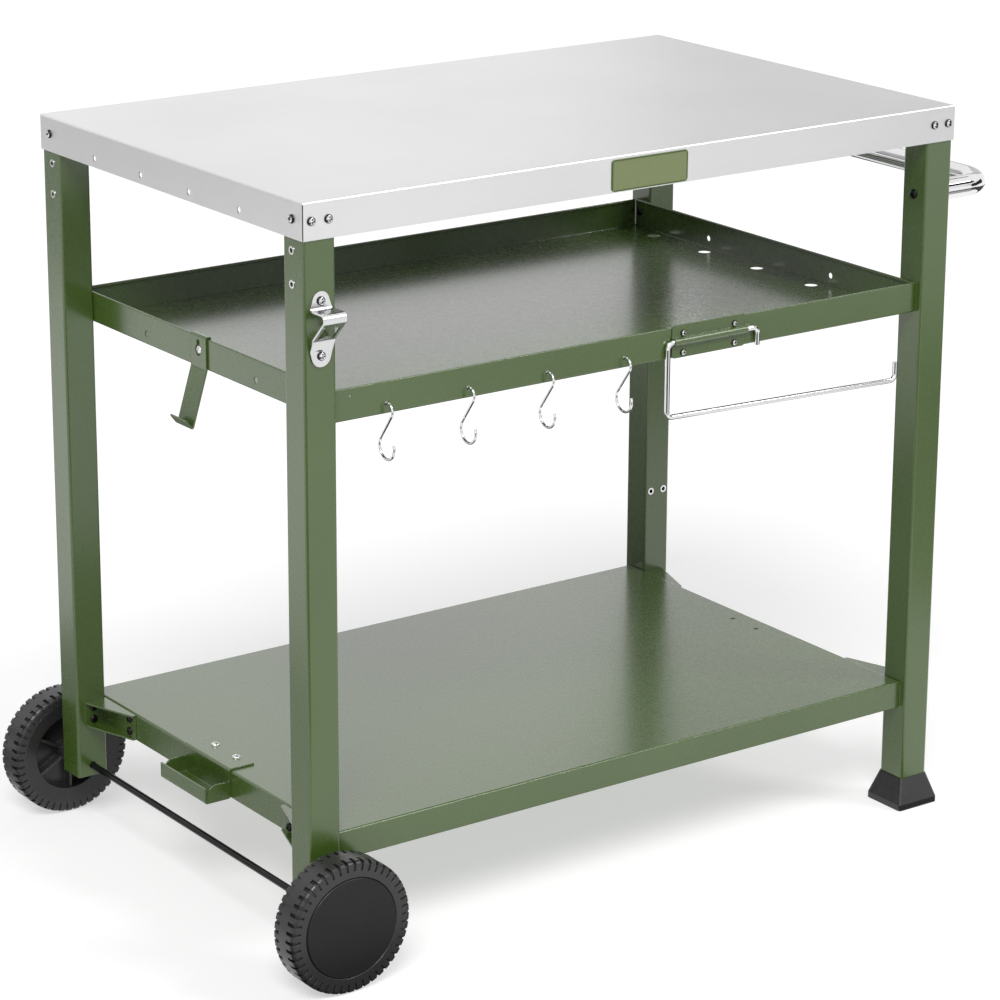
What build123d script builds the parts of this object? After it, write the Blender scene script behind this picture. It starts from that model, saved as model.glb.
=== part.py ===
from build123d import *
import os
from math import acos, atan2, cos, degrees, hypot, radians, sin, sqrt

# Barbecue prep table. A folded sheet worktop, a tray and a shelf stand on four square legs,
# with two wheels on an axle through the left legs and a push handle on the right legs.
# Millimetres, +X towards the handle, +Y to the back, +Z up.
# The origin is on the floor, under the middle of the whole table.

# Worktop
top_length = 874.0
top_depth = 543.0
top_height = 846.0
top_sheet = 1.5
top_flange = 40.0
sheet_bend = 2.5
corner_seam = 1.2
seam_reach = 6.0
flange_screw_drop = 20.0
flange_screw_gap = 20.5
tool_hole_radius = 3.5
tool_hole_pitch = 100.0
tool_hole_count = 4
tool_hole_drop = 30.0

# Legs
leg_side = 38.0
leg_wall = 1.5
leg_corner = 3.0
leg_below_axle = 12.5
side_nut_drop = 53.0
side_nut_pitch = 35.0
side_nut_shift = 2.5
spare_nut_rise = 105.5
spare_nut_gap = 20.0

# Tray
tray_drop = 238.0
tray_wall_height = 35.0
tray_sheet = 1.2
tray_setback = 9.0
hem_height = 3.5
hem_fold = 1.4
hem_round = 1.1
tray_screw_height = 20.0
bottle_hole_radius = 8.0
bottle_hole_pitch = 100.0
bottle_hole_count = 5
bottle_hole_inset = 18.5
end_hole_radius = 3.5
end_hole_offset = 114.0
end_hole_height = 12.5
peg_hole_radius = 1.5
peg_hole_inset = 22.5
peg_hole_height = 26.0

# Shelf and its corner gussets
shelf_height = 157.0
shelf_flange = 32.0
shelf_sheet = 1.5
shelf_setback = 9.0
gusset_sheet = 2.0
gusset_height = 30.0
gusset_width = 28.0
gusset_run = 72.0
gusset_drop = 1.5
gusset_toe = 5.0
gusset_heel = 3.0
gusset_screw_pitch = 14.5
gusset_leg_screw_inset = 17.0
gusset_shelf_screw_run = 60.0

# Axle and wheels
axle_radius = 4.0
wheel_radius = 74.5
wheel_width = 38.0
wheel_gap = 12.0
wheel_shoulder = 5.0
wheel_side_draw = 3.0
wheel_flat_radius = 62.0
wheel_running_fit = 0.08
hub_radius = 13.0
hub_boss = 1.5
hub_side_gap = 0.3
recess_radius = 45.5
web_inset = 18.0
web_thickness = 4.0
rib_count = 6
rib_thickness = 3.0
rib_inset = 3.0
lug_count = 46
lug_gap = 4.0
lug_depth = 3.5
lug_length = 12.0
side_slot_width = 2.2
side_slot_depth = 1.8
side_slot_reach = 10.5
cap_radius = 55.6
cap_thickness = 3.0
cap_dome = 0.8
cap_groove = 0.3
cap_ring_chamfer = 0.9
cap_seat = 5.0
cap_skirt = 1.6
cap_skirt_depth = 6.0
washer_radius = 9.0
washer_thickness = 1.6
axle_nut_flats = 13.0
axle_nut_thickness = 6.5
axle_tail = 1.5

# Feet
foot_flare = 10.5
foot_band = 7.0
foot_height = 36.0
foot_sole = 6.0
foot_lip = 1.2
foot_fit = 0.1
foot_round = 4.0

# Handle
handle_radius = 12.5
handle_wall = 1.5
handle_drop = 101.5
handle_stand_off = 77.0
handle_bend = 38.0
plug_length = 20.0
handle_bolt_radius = 3.0
handle_bolt_head_radius = 5.5
handle_bolt_head_height = 3.3
handle_bolt_grip = 15.0

# Badge plate
badge_length = 102.0
badge_height = 34.5
badge_thickness = 1.2
badge_edge = 0.4
badge_corner = 4.0
badge_drop = 4.2
badge_border = 1.6
badge_sink = 0.3

# Bottle opener
opener_sheet = 2.0
opener_width = 27.0
opener_drop = 93.0
opener_tab = 19.0
opener_reach = 28.0
opener_nose = 8.0
opener_slant = 22.0
opener_knee_out = 6.0
opener_knee_rise = 13.0
opener_foot = 17.0
opener_top_round = 10.0
opener_bottom_round = 11.5
opener_nose_bend = 5.5
opener_knee_bend = 10.0
opener_fold_bend = 2.0
mouth_width = 21.0
mouth_arch = 6.0
mouth_rise = 11.5
mouth_height = 16.5
opener_slot_length = 19.0
opener_slot_width = 4.0
opener_slot_reach = 9.0

# Roll holder
roll_wire_radius = 3.0
roll_running_fit = 0.1
roll_wall_gap = 0.4
roll_height = 19.0
roll_bracket_offset = 93.5
roll_bracket_length = 102.0
roll_bracket_sheet = 1.2
roll_bracket_rise = 2.0
roll_bracket_corner = 4.0
roll_screw_span = 72.0
roll_head_gap = 0.4
roll_screw_low = 5.5
roll_bend = 7.0
roll_end_gap = 0.5
roll_tail_offset = 16.0
roll_tail = 20.0
roll_drop = 84.0
roll_bar = 332.0
roll_bar_dip = 10.0
roll_tip = 21.0

# S hooks
hook_count = 4
hook_pitch = 103.0
hook_first = 67.5
hook_wire_radius = 1.5
hook_hole_radius = 2.7
hook_hole_height = 11.0
hook_loop_radius = 8.0
hook_loop_lean = 2.6
hook_inner_angle = 20.0
hook_bowl_radius = 13.5
hook_bowl_lean = 0.0
hook_bowl_drop = 47.0
hook_tip_angle = 160.0

# Tank hook
tank_hook_sheet = 2.0
tank_hook_width = 32.0
tank_hook_gap = 0.3
tank_hook_fit = 0.1
tank_hook_flap = 11.0
tank_hook_bend = 1.5
tank_hook_arm_out = 19.0
tank_hook_arm_drop = 63.0
tank_hook_lip_out = 8.8
tank_hook_lip_rise = 11.5
tank_hook_knee = 6.0
tank_hook_toe = 1.6
keyhole_radius = 6.0
keyhole_slot = 6.0
keyhole_rise = 9.0
keyhole_height = 20.0

# Tank cradle
cradle_sheet = 2.0
cradle_length = 96.0
cradle_reach = 33.5
cradle_drop = 1.0
cradle_lip = 18.5
cradle_tab = 30.5
cradle_bend = 2.0
cradle_fit = 0.1
cheek_height = 20.5
cheek_flat = 16.0
cheek_toe = 7.0
cheek_toe_gap = 1.0
cradle_hole_radius = 3.2
cradle_screw_gap = 45.0
cradle_screw_inset = 23.0

# Fasteners
pan_head_radius = 4.75
pan_head_height = 3.0
screw_radius = 2.5
screw_length = 12.0
small_head_radius = 3.6
small_head_height = 2.4
small_screw_radius = 2.0
small_screw_length = 10.0
recess_share = 0.58
recess_width_share = 0.27
recess_depth = 1.7
hole_clearance = 0.25
thread_clearance = 0.05
nut_flats = 8.0
nut_thickness = 4.0
small_nut_flats = 7.0
small_nut_thickness = 3.2
rivet_flange_radius = 4.5
rivet_flange = 0.8
rivet_body_radius = 3.5
rivet_body_length = 13.0
rivet_bore_radius = 2.6

# Places worked out from the sizes above
leg_x = top_length / 2 - top_sheet - leg_side / 2
leg_y = top_depth / 2 - top_sheet - leg_side / 2
outer_x = leg_x + leg_side / 2
outer_y = leg_y + leg_side / 2
inner_x = leg_x - leg_side / 2
inner_y = leg_y - leg_side / 2
wheel_reach = leg_x + wheel_radius
handle_reach = outer_x + handle_stand_off + handle_radius
mid_x = (wheel_reach - handle_reach) / 2
left_end = mid_x - inner_x
tray_half_depth = outer_y - tray_setback
tray_bottom = top_height - tray_drop
tray_top = tray_bottom + tray_wall_height
tray_rim = tray_sheet + hem_fold
shelf_half_depth = outer_y - shelf_setback
shelf_bottom = shelf_height - shelf_flange
axle_x = mid_x - leg_x
axle_z = wheel_radius
flange_screw_z = top_height - flange_screw_drop
tray_screw_z = tray_bottom + tray_screw_height
gusset_top = shelf_height - gusset_drop
gusset_z = gusset_top - gusset_height / 2
corners = {"front_left": (-1, -1), "back_left": (-1, 1), "front_right": (1, -1), "back_right": (1, 1)}
cut_margin = 1.0
wheel_inner = outer_y + wheel_gap
wheel_outer = wheel_inner + wheel_width
hub_inner = outer_y + washer_thickness + hub_side_gap
web_inner = wheel_inner + web_inset
web_outer = web_inner + web_thickness
hub_outer = web_outer + hub_boss
nut_seat = hub_outer + hub_side_gap
axle_end = nut_seat + axle_nut_thickness + axle_tail
cap_edge = cap_radius + cap_groove
cap_inner = wheel_outer - cap_thickness
cap_pocket = cap_edge - cap_seat
tray_front = -tray_half_depth
roll_y = tray_front - roll_wall_gap - roll_wire_radius
roll_z = tray_bottom + roll_height
roll_x = mid_x + roll_bracket_offset
roll_groove = roll_wire_radius + roll_running_fit
roll_bead = roll_groove + roll_bracket_sheet
roll_screw_heights = (tray_bottom + roll_screw_low, roll_z + roll_bead + roll_head_gap + small_head_radius)
hook_y = tray_front + tray_sheet / 2
hook_z = tray_bottom + hook_hole_height
keyhole_z = tray_bottom + keyhole_height
handle_height = top_height - handle_drop
spare_nut_height = shelf_height + spare_nut_rise
opener_top = top_height - opener_drop
opener_shelf = opener_top - opener_tab
opener_knee = opener_shelf - opener_nose - opener_slant
opener_return = opener_knee - opener_knee_rise
opener_bottom = opener_return - opener_foot
mouth_bottom = opener_return + mouth_rise
mouth_top = mouth_bottom + mouth_height
opener_top_z = opener_top - opener_top_round
opener_bottom_z = opener_bottom + opener_bottom_round
cradle_screw_x = inner_x - cradle_screw_inset

os.makedirs("parts", exist_ok=True)


def keep(piece, name):
    """Label a finished piece and write it."""
    piece.part.label = name
    export_step(piece.part, f"parts/{name}.step")


def facing(x, y, z, direction):
    """A place whose own Z axis points along the direction."""
    return Plane(origin=(x, y, z), z_dir=direction)


def drill(radius, depth, places):
    """Cut round holes along the places' Z axes, to the same depth on both sides."""
    with Locations(*places):
        Cylinder(radius, 2 * depth, mode=Mode.SUBTRACT)


def group(fastener, places):
    """Copies of one fastener at several places."""
    with BuildPart() as copies:
        with Locations(*places):
            add(fastener)
    return copies


def spread(count, pitch):
    """Evenly spaced steps, centred on zero."""
    return [(step - (count - 1) / 2) * pitch for step in range(count)]


# Fasteners


def domed_screw(head_radius, head_height, shank_radius, shank_length):
    """A domed head with a cross recess; the head seats on Z = 0 and the shank points down."""
    rim = head_height / 4
    recess_span = 2 * recess_share * head_radius
    recess_width = recess_width_share * recess_span
    with BuildPart() as screw:
        with BuildSketch(Plane.XZ):
            with BuildLine():
                Polyline(
                    (0, head_height), (0, -shank_length), (shank_radius, -shank_length),
                    (shank_radius, 0), (head_radius, 0), (head_radius, rim),
                )
                EllipticalCenterArc((0, rim), head_radius, head_height - rim, 0, arc_size=90)
            make_face()
        revolve(axis=Axis.Z)
        with Locations((0, 0, head_height)):
            Box(recess_span, recess_width, 2 * recess_depth, mode=Mode.SUBTRACT)
            Box(recess_width, recess_span, 2 * recess_depth, mode=Mode.SUBTRACT)
    return screw.part


def hex_nut(bore_radius, flats, thickness):
    """A hexagon nut that seats on Z = 0 and stands up along Z."""
    with BuildPart() as nut:
        with BuildSketch():
            RegularPolygon(flats / 2, 6, major_radius=False)
            Circle(bore_radius, mode=Mode.SUBTRACT)
        extrude(amount=thickness)
    return nut.part


def rivet_nut():
    """A flanged blind nut; the flange seats on Z = 0 and the body points down."""
    with BuildPart() as nut:
        Cylinder(rivet_flange_radius, rivet_flange, align=(Align.CENTER, Align.CENTER, Align.MIN))
        Cylinder(rivet_body_radius, rivet_body_length, align=(Align.CENTER, Align.CENTER, Align.MAX))
        Cylinder(rivet_bore_radius, 2 * rivet_body_length + cut_margin, mode=Mode.SUBTRACT)
    return nut.part


# Screw places, shared by the pieces that they join


def flange_screws(side_x, side_y):
    """Screw places on the worktop's flanges at one leg."""
    x = mid_x + side_x * leg_x
    flange_y = side_y * top_depth / 2
    flange_x = mid_x + side_x * top_length / 2
    places = [
        facing(x + step, flange_y, flange_screw_z, (0, side_y, 0)) for step in spread(2, flange_screw_gap)
    ]
    places.append(facing(flange_x, side_y * leg_y, flange_screw_z, (side_x, 0, 0)))
    return places


def tray_screw(side_x, side_y):
    """The screw place inside the tray's end wall at one leg."""
    wall_x = mid_x + side_x * (inner_x - tray_sheet)
    return facing(wall_x, side_y * leg_y, tray_screw_z, (-side_x, 0, 0))


def gusset_leg_screws(side_x, side_y):
    """Screw places where one gusset is fixed to its leg."""
    x = mid_x + side_x * (inner_x + gusset_leg_screw_inset)
    y = side_y * (inner_y - gusset_sheet)
    return [facing(x, y, gusset_z + step, (0, -side_y, 0)) for step in spread(2, gusset_screw_pitch)]


def gusset_shelf_screws(side_x, side_y):
    """Screw places where one gusset is fixed to the shelf's end flange."""
    x = mid_x + side_x * (inner_x + gusset_sheet)
    y = side_y * (inner_y - gusset_shelf_screw_run)
    return [facing(x, y, gusset_z + step, (side_x, 0, 0)) for step in spread(2, gusset_screw_pitch)]


def gusset_shelf_nuts(side_x, side_y):
    """Nut places behind the shelf's end flange."""
    x = mid_x + side_x * (inner_x - shelf_sheet)
    y = side_y * (inner_y - gusset_shelf_screw_run)
    return [facing(x, y, gusset_z + step, (-side_x, 0, 0)) for step in spread(2, gusset_screw_pitch)]


def side_nuts(side_y):
    """Blind nut places on the outer side of a left leg."""
    x = mid_x - outer_x
    top_z = top_height - side_nut_drop
    heights = (top_z, top_z - side_nut_pitch)
    y = side_y * (leg_y - side_nut_shift)
    return [facing(x, y, z, (-1, 0, 0)) for z in heights]


def handle_bolt(side_y):
    """The bolt place on the inner side of a right leg."""
    return facing(mid_x + inner_x, side_y * leg_y, handle_height, (-1, 0, 0))


spare_nuts = [
    facing(mid_x + leg_x + step, inner_y, spare_nut_height, (0, -1, 0)) for step in spread(2, spare_nut_gap)
]
opener_screws = [
    facing(mid_x - leg_x, -outer_y - opener_sheet, z, (0, -1, 0)) for z in (opener_top_z, opener_bottom_z)
]
roll_screws = [
    facing(roll_x + step, tray_front - roll_bracket_sheet, z, (0, -1, 0))
    for step in spread(2, roll_screw_span)
    for z in roll_screw_heights
]
roll_nuts = [
    facing(roll_x + step, tray_front + tray_sheet, z, (0, 1, 0))
    for step in spread(2, roll_screw_span)
    for z in roll_screw_heights
]
hook_places = [left_end + hook_first + hook_pitch * step for step in range(hook_count)]
hook_holes = [facing(x, hook_y, hook_z, (0, -1, 0)) for x in hook_places]
tank_screw = facing(left_end, 0, keyhole_z, (-1, 0, 0))
tank_nut = facing(left_end + tray_sheet, 0, keyhole_z, (1, 0, 0))
cradle_screws = [
    facing(mid_x - cradle_screw_x, step, shelf_height + cradle_fit + cradle_sheet, (0, 0, 1))
    for step in spread(2, cradle_screw_gap)
]
cradle_nuts = [
    facing(mid_x - cradle_screw_x, step, shelf_height - shelf_sheet, (0, 0, -1))
    for step in spread(2, cradle_screw_gap)
]
spare_shelf_holes = [
    facing(mid_x + cradle_screw_x, step, shelf_height, (0, 0, 1)) for step in spread(2, cradle_screw_gap)
]


# Worktop and badge


def corner_seams(length, depth, bottom_z, height, sheet):
    """Open the corners where two folded sides meet."""
    places = [
        Location((mid_x + side_x * length / 2, side_y * depth / 2, bottom_z), (0, 0, 45 * side_x * side_y))
        for side_x, side_y in corners.values()
    ]
    with Locations(*places):
        Box(
            seam_reach * sheet, corner_seam, height,
            align=(Align.CENTER, Align.CENTER, Align.MIN), mode=Mode.SUBTRACT,
        )


def folded_sheet(length, depth, top_z, drop, sheet):
    """A sheet with its four sides folded down."""
    with BuildPart() as pan:
        with Locations((mid_x, 0, top_z)):
            Box(length, depth, drop, align=(Align.CENTER, Align.CENTER, Align.MAX))
        fillet(pan.faces().sort_by(Axis.Z)[-1].edges(), sheet_bend)
        with Locations((mid_x, 0, top_z - sheet)):
            Box(
                length - 2 * sheet, depth - 2 * sheet, drop,
                align=(Align.CENTER, Align.CENTER, Align.MAX), mode=Mode.SUBTRACT,
            )
        corner_seams(length, depth, top_z - drop, drop - sheet_bend, sheet)
    return pan.part


with BuildPart() as worktop:
    add(folded_sheet(top_length, top_depth, top_height, top_flange, top_sheet))
    for side_x, side_y in corners.values():
        drill(screw_radius + hole_clearance, top_sheet + cut_margin, flange_screws(side_x, side_y))
    tool_holes = [
        facing(mid_x - top_length / 2, step, top_height - tool_hole_drop, (-1, 0, 0))
        for step in spread(tool_hole_count, tool_hole_pitch)
    ]
    drill(tool_hole_radius, top_sheet + cut_margin, tool_holes)
keep(worktop, "worktop")

pan_screw = domed_screw(pan_head_radius, pan_head_height, screw_radius, screw_length)
all_flange_screws = [
    place for side_x, side_y in corners.values() for place in flange_screws(side_x, side_y)
]
keep(group(pan_screw, all_flange_screws), "worktop_screws")

with BuildPart() as badge_plate:
    with BuildSketch(Plane.XZ.offset(top_depth / 2)):
        with Locations((mid_x, top_height - badge_drop - badge_height / 2)):
            RectangleRounded(badge_length, badge_height, badge_corner)
    extrude(amount=badge_thickness)
    fillet(badge_plate.faces().sort_by(Axis.Y)[0].edges(), badge_edge)
    with BuildSketch(Plane.XZ.offset(top_depth / 2 + badge_thickness)):
        with Locations((mid_x, top_height - badge_drop - badge_height / 2)):
            RectangleRounded(
                badge_length - 2 * badge_border, badge_height - 2 * badge_border, badge_corner - badge_border
            )
    extrude(amount=-badge_sink, mode=Mode.SUBTRACT)
keep(badge_plate, "badge_plate")


# Legs


def make_leg(side_x, side_y, bottom_z, extra_holes):
    """A square tube under one corner of the worktop, with its own extra holes."""
    with BuildPart() as leg:
        with BuildSketch(Plane.XY.offset(bottom_z)):
            with Locations((mid_x + side_x * leg_x, side_y * leg_y)):
                bore = leg_side - 2 * leg_wall
                RectangleRounded(leg_side, leg_side, leg_corner)
                RectangleRounded(bore, bore, leg_corner - leg_wall, mode=Mode.SUBTRACT)
        extrude(amount=top_height - top_sheet - bottom_z)
        tapped = screw_radius + thread_clearance
        drill(tapped, top_sheet + leg_wall + cut_margin, flange_screws(side_x, side_y))
        drill(tapped, tray_sheet + leg_wall + cut_margin, [tray_screw(side_x, side_y)])
        drill(tapped, gusset_sheet + leg_wall + cut_margin, gusset_leg_screws(side_x, side_y))
        for radius, depth, places in extra_holes:
            drill(radius, depth, places)
    return leg


def axle_hole(side_y):
    """The axle's hole through a left leg."""
    return (axle_radius + hole_clearance, leg_side, [facing(axle_x, side_y * leg_y, axle_z, (0, 1, 0))])


def side_nut_holes(side_y):
    """Holes for the blind nuts on a left leg."""
    return (rivet_body_radius + thread_clearance, leg_wall + cut_margin, side_nuts(side_y))


def bolt_hole(side_y):
    """The handle bolt's hole through a right leg."""
    return (handle_bolt_radius + hole_clearance, leg_side + cut_margin, [handle_bolt(side_y)])


opener_holes = (screw_radius + thread_clearance, opener_sheet + leg_wall + cut_margin, opener_screws)
spare_nut_holes = (rivet_body_radius + thread_clearance, leg_wall + cut_margin, spare_nuts)
left_leg_end = axle_z - leg_below_axle
leg_holes = {
    "front_left": [axle_hole(-1), side_nut_holes(-1), opener_holes],
    "back_left": [axle_hole(1), side_nut_holes(1)],
    "front_right": [bolt_hole(-1)],
    "back_right": [bolt_hole(1), spare_nut_holes],
}
for corner, (side_x, side_y) in corners.items():
    leg_end = left_leg_end if side_x < 0 else foot_sole
    keep(make_leg(side_x, side_y, leg_end, leg_holes[corner]), f"leg_{corner}")

keep(group(rivet_nut(), side_nuts(-1) + side_nuts(1) + spare_nuts), "leg_rivet_nuts")


# Tray

with BuildPart() as tray:
    floor_align = (Align.CENTER, Align.CENTER, Align.MIN)
    rim_align = (Align.CENTER, Align.CENTER, Align.MAX)
    with Locations((mid_x, 0, tray_bottom)):
        Box(2 * inner_x, 2 * tray_half_depth, tray_wall_height, align=floor_align)
    fillet(tray.faces().sort_by(Axis.Z)[0].edges(), sheet_bend)
    with Locations((mid_x, 0, tray_bottom + tray_sheet)):
        Box(
            2 * (inner_x - tray_sheet), 2 * (tray_half_depth - tray_sheet),
            tray_wall_height - tray_sheet - hem_height, align=floor_align, mode=Mode.SUBTRACT,
        )
    with Locations((mid_x, 0, tray_top)):
        Box(
            2 * (inner_x - tray_rim), 2 * (tray_half_depth - tray_rim), hem_height,
            align=rim_align, mode=Mode.SUBTRACT,
        )
    fillet(tray.faces().sort_by(Axis.Z)[-1].edges(), hem_round)
    corner_seams(
        2 * inner_x, 2 * tray_half_depth, tray_bottom + sheet_bend, tray_wall_height, tray_rim
    )
    wall_cut = tray_sheet + cut_margin
    for side_x, side_y in corners.values():
        drill(screw_radius + hole_clearance, wall_cut, [tray_screw(side_x, side_y)])
    bottle_holes = [
        facing(mid_x + inner_x - bottle_hole_inset, step, tray_bottom, (0, 0, 1))
        for step in spread(bottle_hole_count, bottle_hole_pitch)
    ]
    drill(bottle_hole_radius, wall_cut, bottle_holes)
    end_holes = [
        facing(mid_x + side_x * inner_x, side_y * end_hole_offset, tray_bottom + end_hole_height, (1, 0, 0))
        for side_x, side_y in corners.values()
    ]
    drill(end_hole_radius, wall_cut, end_holes)
    peg_hole = facing(left_end + peg_hole_inset, tray_front, tray_bottom + peg_hole_height, (0, 1, 0))
    drill(peg_hole_radius, wall_cut, [peg_hole])
    drill(hook_hole_radius, wall_cut, hook_holes)
    drill(small_screw_radius + hole_clearance, roll_bracket_sheet + wall_cut, roll_screws)
    drill(screw_radius + hole_clearance, wall_cut, [tank_screw])
keep(tray, "tray")

tray_screw_places = [tray_screw(side_x, side_y) for side_x, side_y in corners.values()]
keep(group(pan_screw, tray_screw_places), "tray_screws")


# Shelf and gussets

with BuildPart() as shelf:
    add(folded_sheet(2 * inner_x, 2 * shelf_half_depth, shelf_height, shelf_flange, shelf_sheet))
    for side_x, side_y in corners.values():
        drill(screw_radius + hole_clearance, gusset_sheet + shelf_sheet + cut_margin,
              gusset_shelf_screws(side_x, side_y))
    drill(cradle_hole_radius, cradle_sheet + shelf_sheet + cut_margin, cradle_screws + spare_shelf_holes)
keep(shelf, "shelf")


def make_gusset(side_x, side_y):
    """A boxed corner bracket, open on its slanted side."""
    x = mid_x + side_x * inner_x
    y = side_y * inner_y
    heel_x = x + side_x * gusset_width
    toe_x = x + side_x * gusset_toe
    toe_y = y - side_y * gusset_run
    with BuildPart() as gusset:
        with BuildSketch(Plane.XY.offset(gusset_top - gusset_height)):
            with BuildLine():
                Polyline((x, y), (heel_x, y), (heel_x, y - side_y * gusset_heel), (toe_x, toe_y), (x, toe_y),
                         close=True)
            make_face()
        extrude(amount=gusset_height)
        hollow_x = x + side_x * gusset_sheet
        hollow_y = y - side_y * gusset_sheet
        with BuildSketch(Plane.XY.offset(gusset_top - gusset_height + gusset_sheet)):
            with BuildLine():
                Polyline((hollow_x, hollow_y), (hollow_x + side_x * gusset_width, hollow_y),
                         (hollow_x + side_x * gusset_width, toe_y - side_y * gusset_sheet),
                         (hollow_x, toe_y - side_y * gusset_sheet), close=True)
            make_face()
        extrude(amount=gusset_height - 2 * gusset_sheet, mode=Mode.SUBTRACT)
        hole = screw_radius + hole_clearance
        drill(hole, gusset_sheet + cut_margin, gusset_leg_screws(side_x, side_y))
        drill(hole, gusset_sheet + cut_margin, gusset_shelf_screws(side_x, side_y))
    return gusset


gusset_screw_places = []
gusset_nut_places = []
for corner, (side_x, side_y) in corners.items():
    keep(make_gusset(side_x, side_y), f"gusset_{corner}")
    gusset_screw_places += gusset_leg_screws(side_x, side_y) + gusset_shelf_screws(side_x, side_y)
    gusset_nut_places += gusset_shelf_nuts(side_x, side_y)
nut = hex_nut(screw_radius + thread_clearance, nut_flats, nut_thickness)
keep(group(pan_screw, gusset_screw_places), "gusset_screws")
keep(group(nut, gusset_nut_places), "gusset_nuts")


# Axle and wheels

axle_line = facing(axle_x, 0, axle_z, (0, 1, 0))
axle_sides = {"front": -1, "back": 1}
with BuildPart(axle_line) as axle:
    Cylinder(axle_radius, 2 * axle_end)
keep(axle, "axle")

with BuildPart() as washer:
    with BuildSketch():
        Circle(washer_radius)
        Circle(axle_radius + hole_clearance, mode=Mode.SUBTRACT)
    extrude(amount=washer_thickness)
washer_places = [facing(axle_x, side * outer_y, axle_z, (0, side, 0)) for side in axle_sides.values()]
keep(group(washer.part, washer_places), "axle_washers")

axle_nut = hex_nut(axle_radius + thread_clearance, axle_nut_flats, axle_nut_thickness)
axle_nut_places = [facing(axle_x, side * nut_seat, axle_z, (0, side, 0)) for side in axle_sides.values()]
keep(group(axle_nut, axle_nut_places), "axle_nuts")


def make_wheel():
    """A wheel about the Z axis, which runs outwards from the middle of the axle."""
    bore = axle_radius + wheel_running_fit
    shoulder = wheel_radius - wheel_shoulder
    with BuildPart() as wheel:
        with BuildSketch(Plane.XZ):
            with BuildLine():
                Polyline(
                    (bore, hub_inner), (hub_radius, hub_inner), (hub_radius, web_inner),
                    (recess_radius, web_inner), (recess_radius, wheel_inner + wheel_side_draw),
                    (wheel_flat_radius, wheel_inner), (shoulder, wheel_inner),
                )
                CenterArc((shoulder, wheel_inner + wheel_shoulder), wheel_shoulder, -90, 90)
                Line(
                    (wheel_radius, wheel_inner + wheel_shoulder),
                    (wheel_radius, wheel_outer - wheel_shoulder),
                )
                CenterArc((shoulder, wheel_outer - wheel_shoulder), wheel_shoulder, 0, 90)
                Polyline(
                    (shoulder, wheel_outer), (cap_edge + cap_ring_chamfer, wheel_outer),
                    (cap_edge, wheel_outer - cap_ring_chamfer), (cap_edge, cap_inner),
                    (cap_pocket, cap_inner), (cap_pocket, web_outer), (hub_radius, web_outer),
                    (hub_radius, hub_outer), (bore, hub_outer), (bore, hub_inner),
                )
            make_face()
        revolve(axis=Axis.Z)
        rib_start = wheel_inner + wheel_side_draw + rib_inset
        with Locations((0, 0, rib_start)):
            with PolarLocations((hub_radius + recess_radius) / 2, rib_count):
                Box(
                    recess_radius - hub_radius + 2 * cut_margin, rib_thickness,
                    web_inner - rib_start + cut_margin,
                    align=(Align.CENTER, Align.CENTER, Align.MIN),
                )
        for face_z, inward, first in ((wheel_inner, 1, 0), (wheel_outer, -1, 180 / lug_count)):
            tread_z = face_z + inward * (lug_length - cut_margin) / 2
            side_z = face_z + inward * (side_slot_depth - cut_margin) / 2
            with Locations((0, 0, tread_z)):
                with PolarLocations(wheel_radius - lug_depth, lug_count, start_angle=first):
                    Box(
                        lug_depth + cut_margin, lug_gap, lug_length + cut_margin,
                        align=(Align.MIN, Align.CENTER, Align.CENTER), mode=Mode.SUBTRACT,
                    )
            with Locations((0, 0, side_z)):
                with PolarLocations(wheel_radius - side_slot_reach, lug_count, start_angle=first):
                    Box(
                        side_slot_reach + cut_margin, side_slot_width, side_slot_depth + cut_margin,
                        align=(Align.MIN, Align.CENTER, Align.CENTER), mode=Mode.SUBTRACT,
                    )
    return wheel.part


def make_cap():
    """A hub cap about the Z axis, with a skirt that grips inside the wheel's pocket."""
    skirt = cap_pocket - thread_clearance
    with BuildPart() as cap:
        with BuildSketch(Plane.XZ):
            with BuildLine():
                Polyline(
                    (0, cap_inner), (skirt - cap_skirt, cap_inner),
                    (skirt - cap_skirt, cap_inner - cap_skirt_depth), (skirt, cap_inner - cap_skirt_depth),
                    (skirt, cap_inner), (cap_radius, cap_inner), (cap_radius, wheel_outer),
                    (cap_radius - cap_dome, wheel_outer + cap_dome), (0, wheel_outer + cap_dome), close=True,
                )
            make_face()
        revolve(axis=Axis.Z)
    return cap.part


wheel_shape = make_wheel()
cap_shape = make_cap()
for name, side in axle_sides.items():
    outward = [facing(axle_x, 0, axle_z, (0, side, 0))]
    keep(group(wheel_shape, outward), f"wheel_{name}")
    keep(group(cap_shape, outward), f"wheel_cap_{name}")


# Feet


def make_foot(side_y):
    """A flared boot under a right leg."""
    centre = (mid_x + leg_x, side_y * leg_y)
    base = leg_side + 2 * foot_flare
    crown = leg_side + 2 * foot_lip
    socket = leg_side + 2 * foot_fit
    with BuildPart() as foot:
        with BuildSketch():
            with Locations(centre):
                RectangleRounded(base, base, foot_round)
        extrude(amount=foot_band)
        with BuildSketch(Plane.XY.offset(foot_band)):
            with Locations(centre):
                RectangleRounded(base, base, foot_round)
        with BuildSketch(Plane.XY.offset(foot_height)):
            with Locations(centre):
                RectangleRounded(crown, crown, leg_corner + foot_lip)
        loft()
        with BuildSketch(Plane.XY.offset(foot_sole)):
            with Locations(centre):
                RectangleRounded(socket, socket, leg_corner)
        extrude(amount=foot_height, mode=Mode.SUBTRACT)
    return foot


for name, side in axle_sides.items():
    keep(make_foot(side), f"foot_{name}_right")


# Handle

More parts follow.
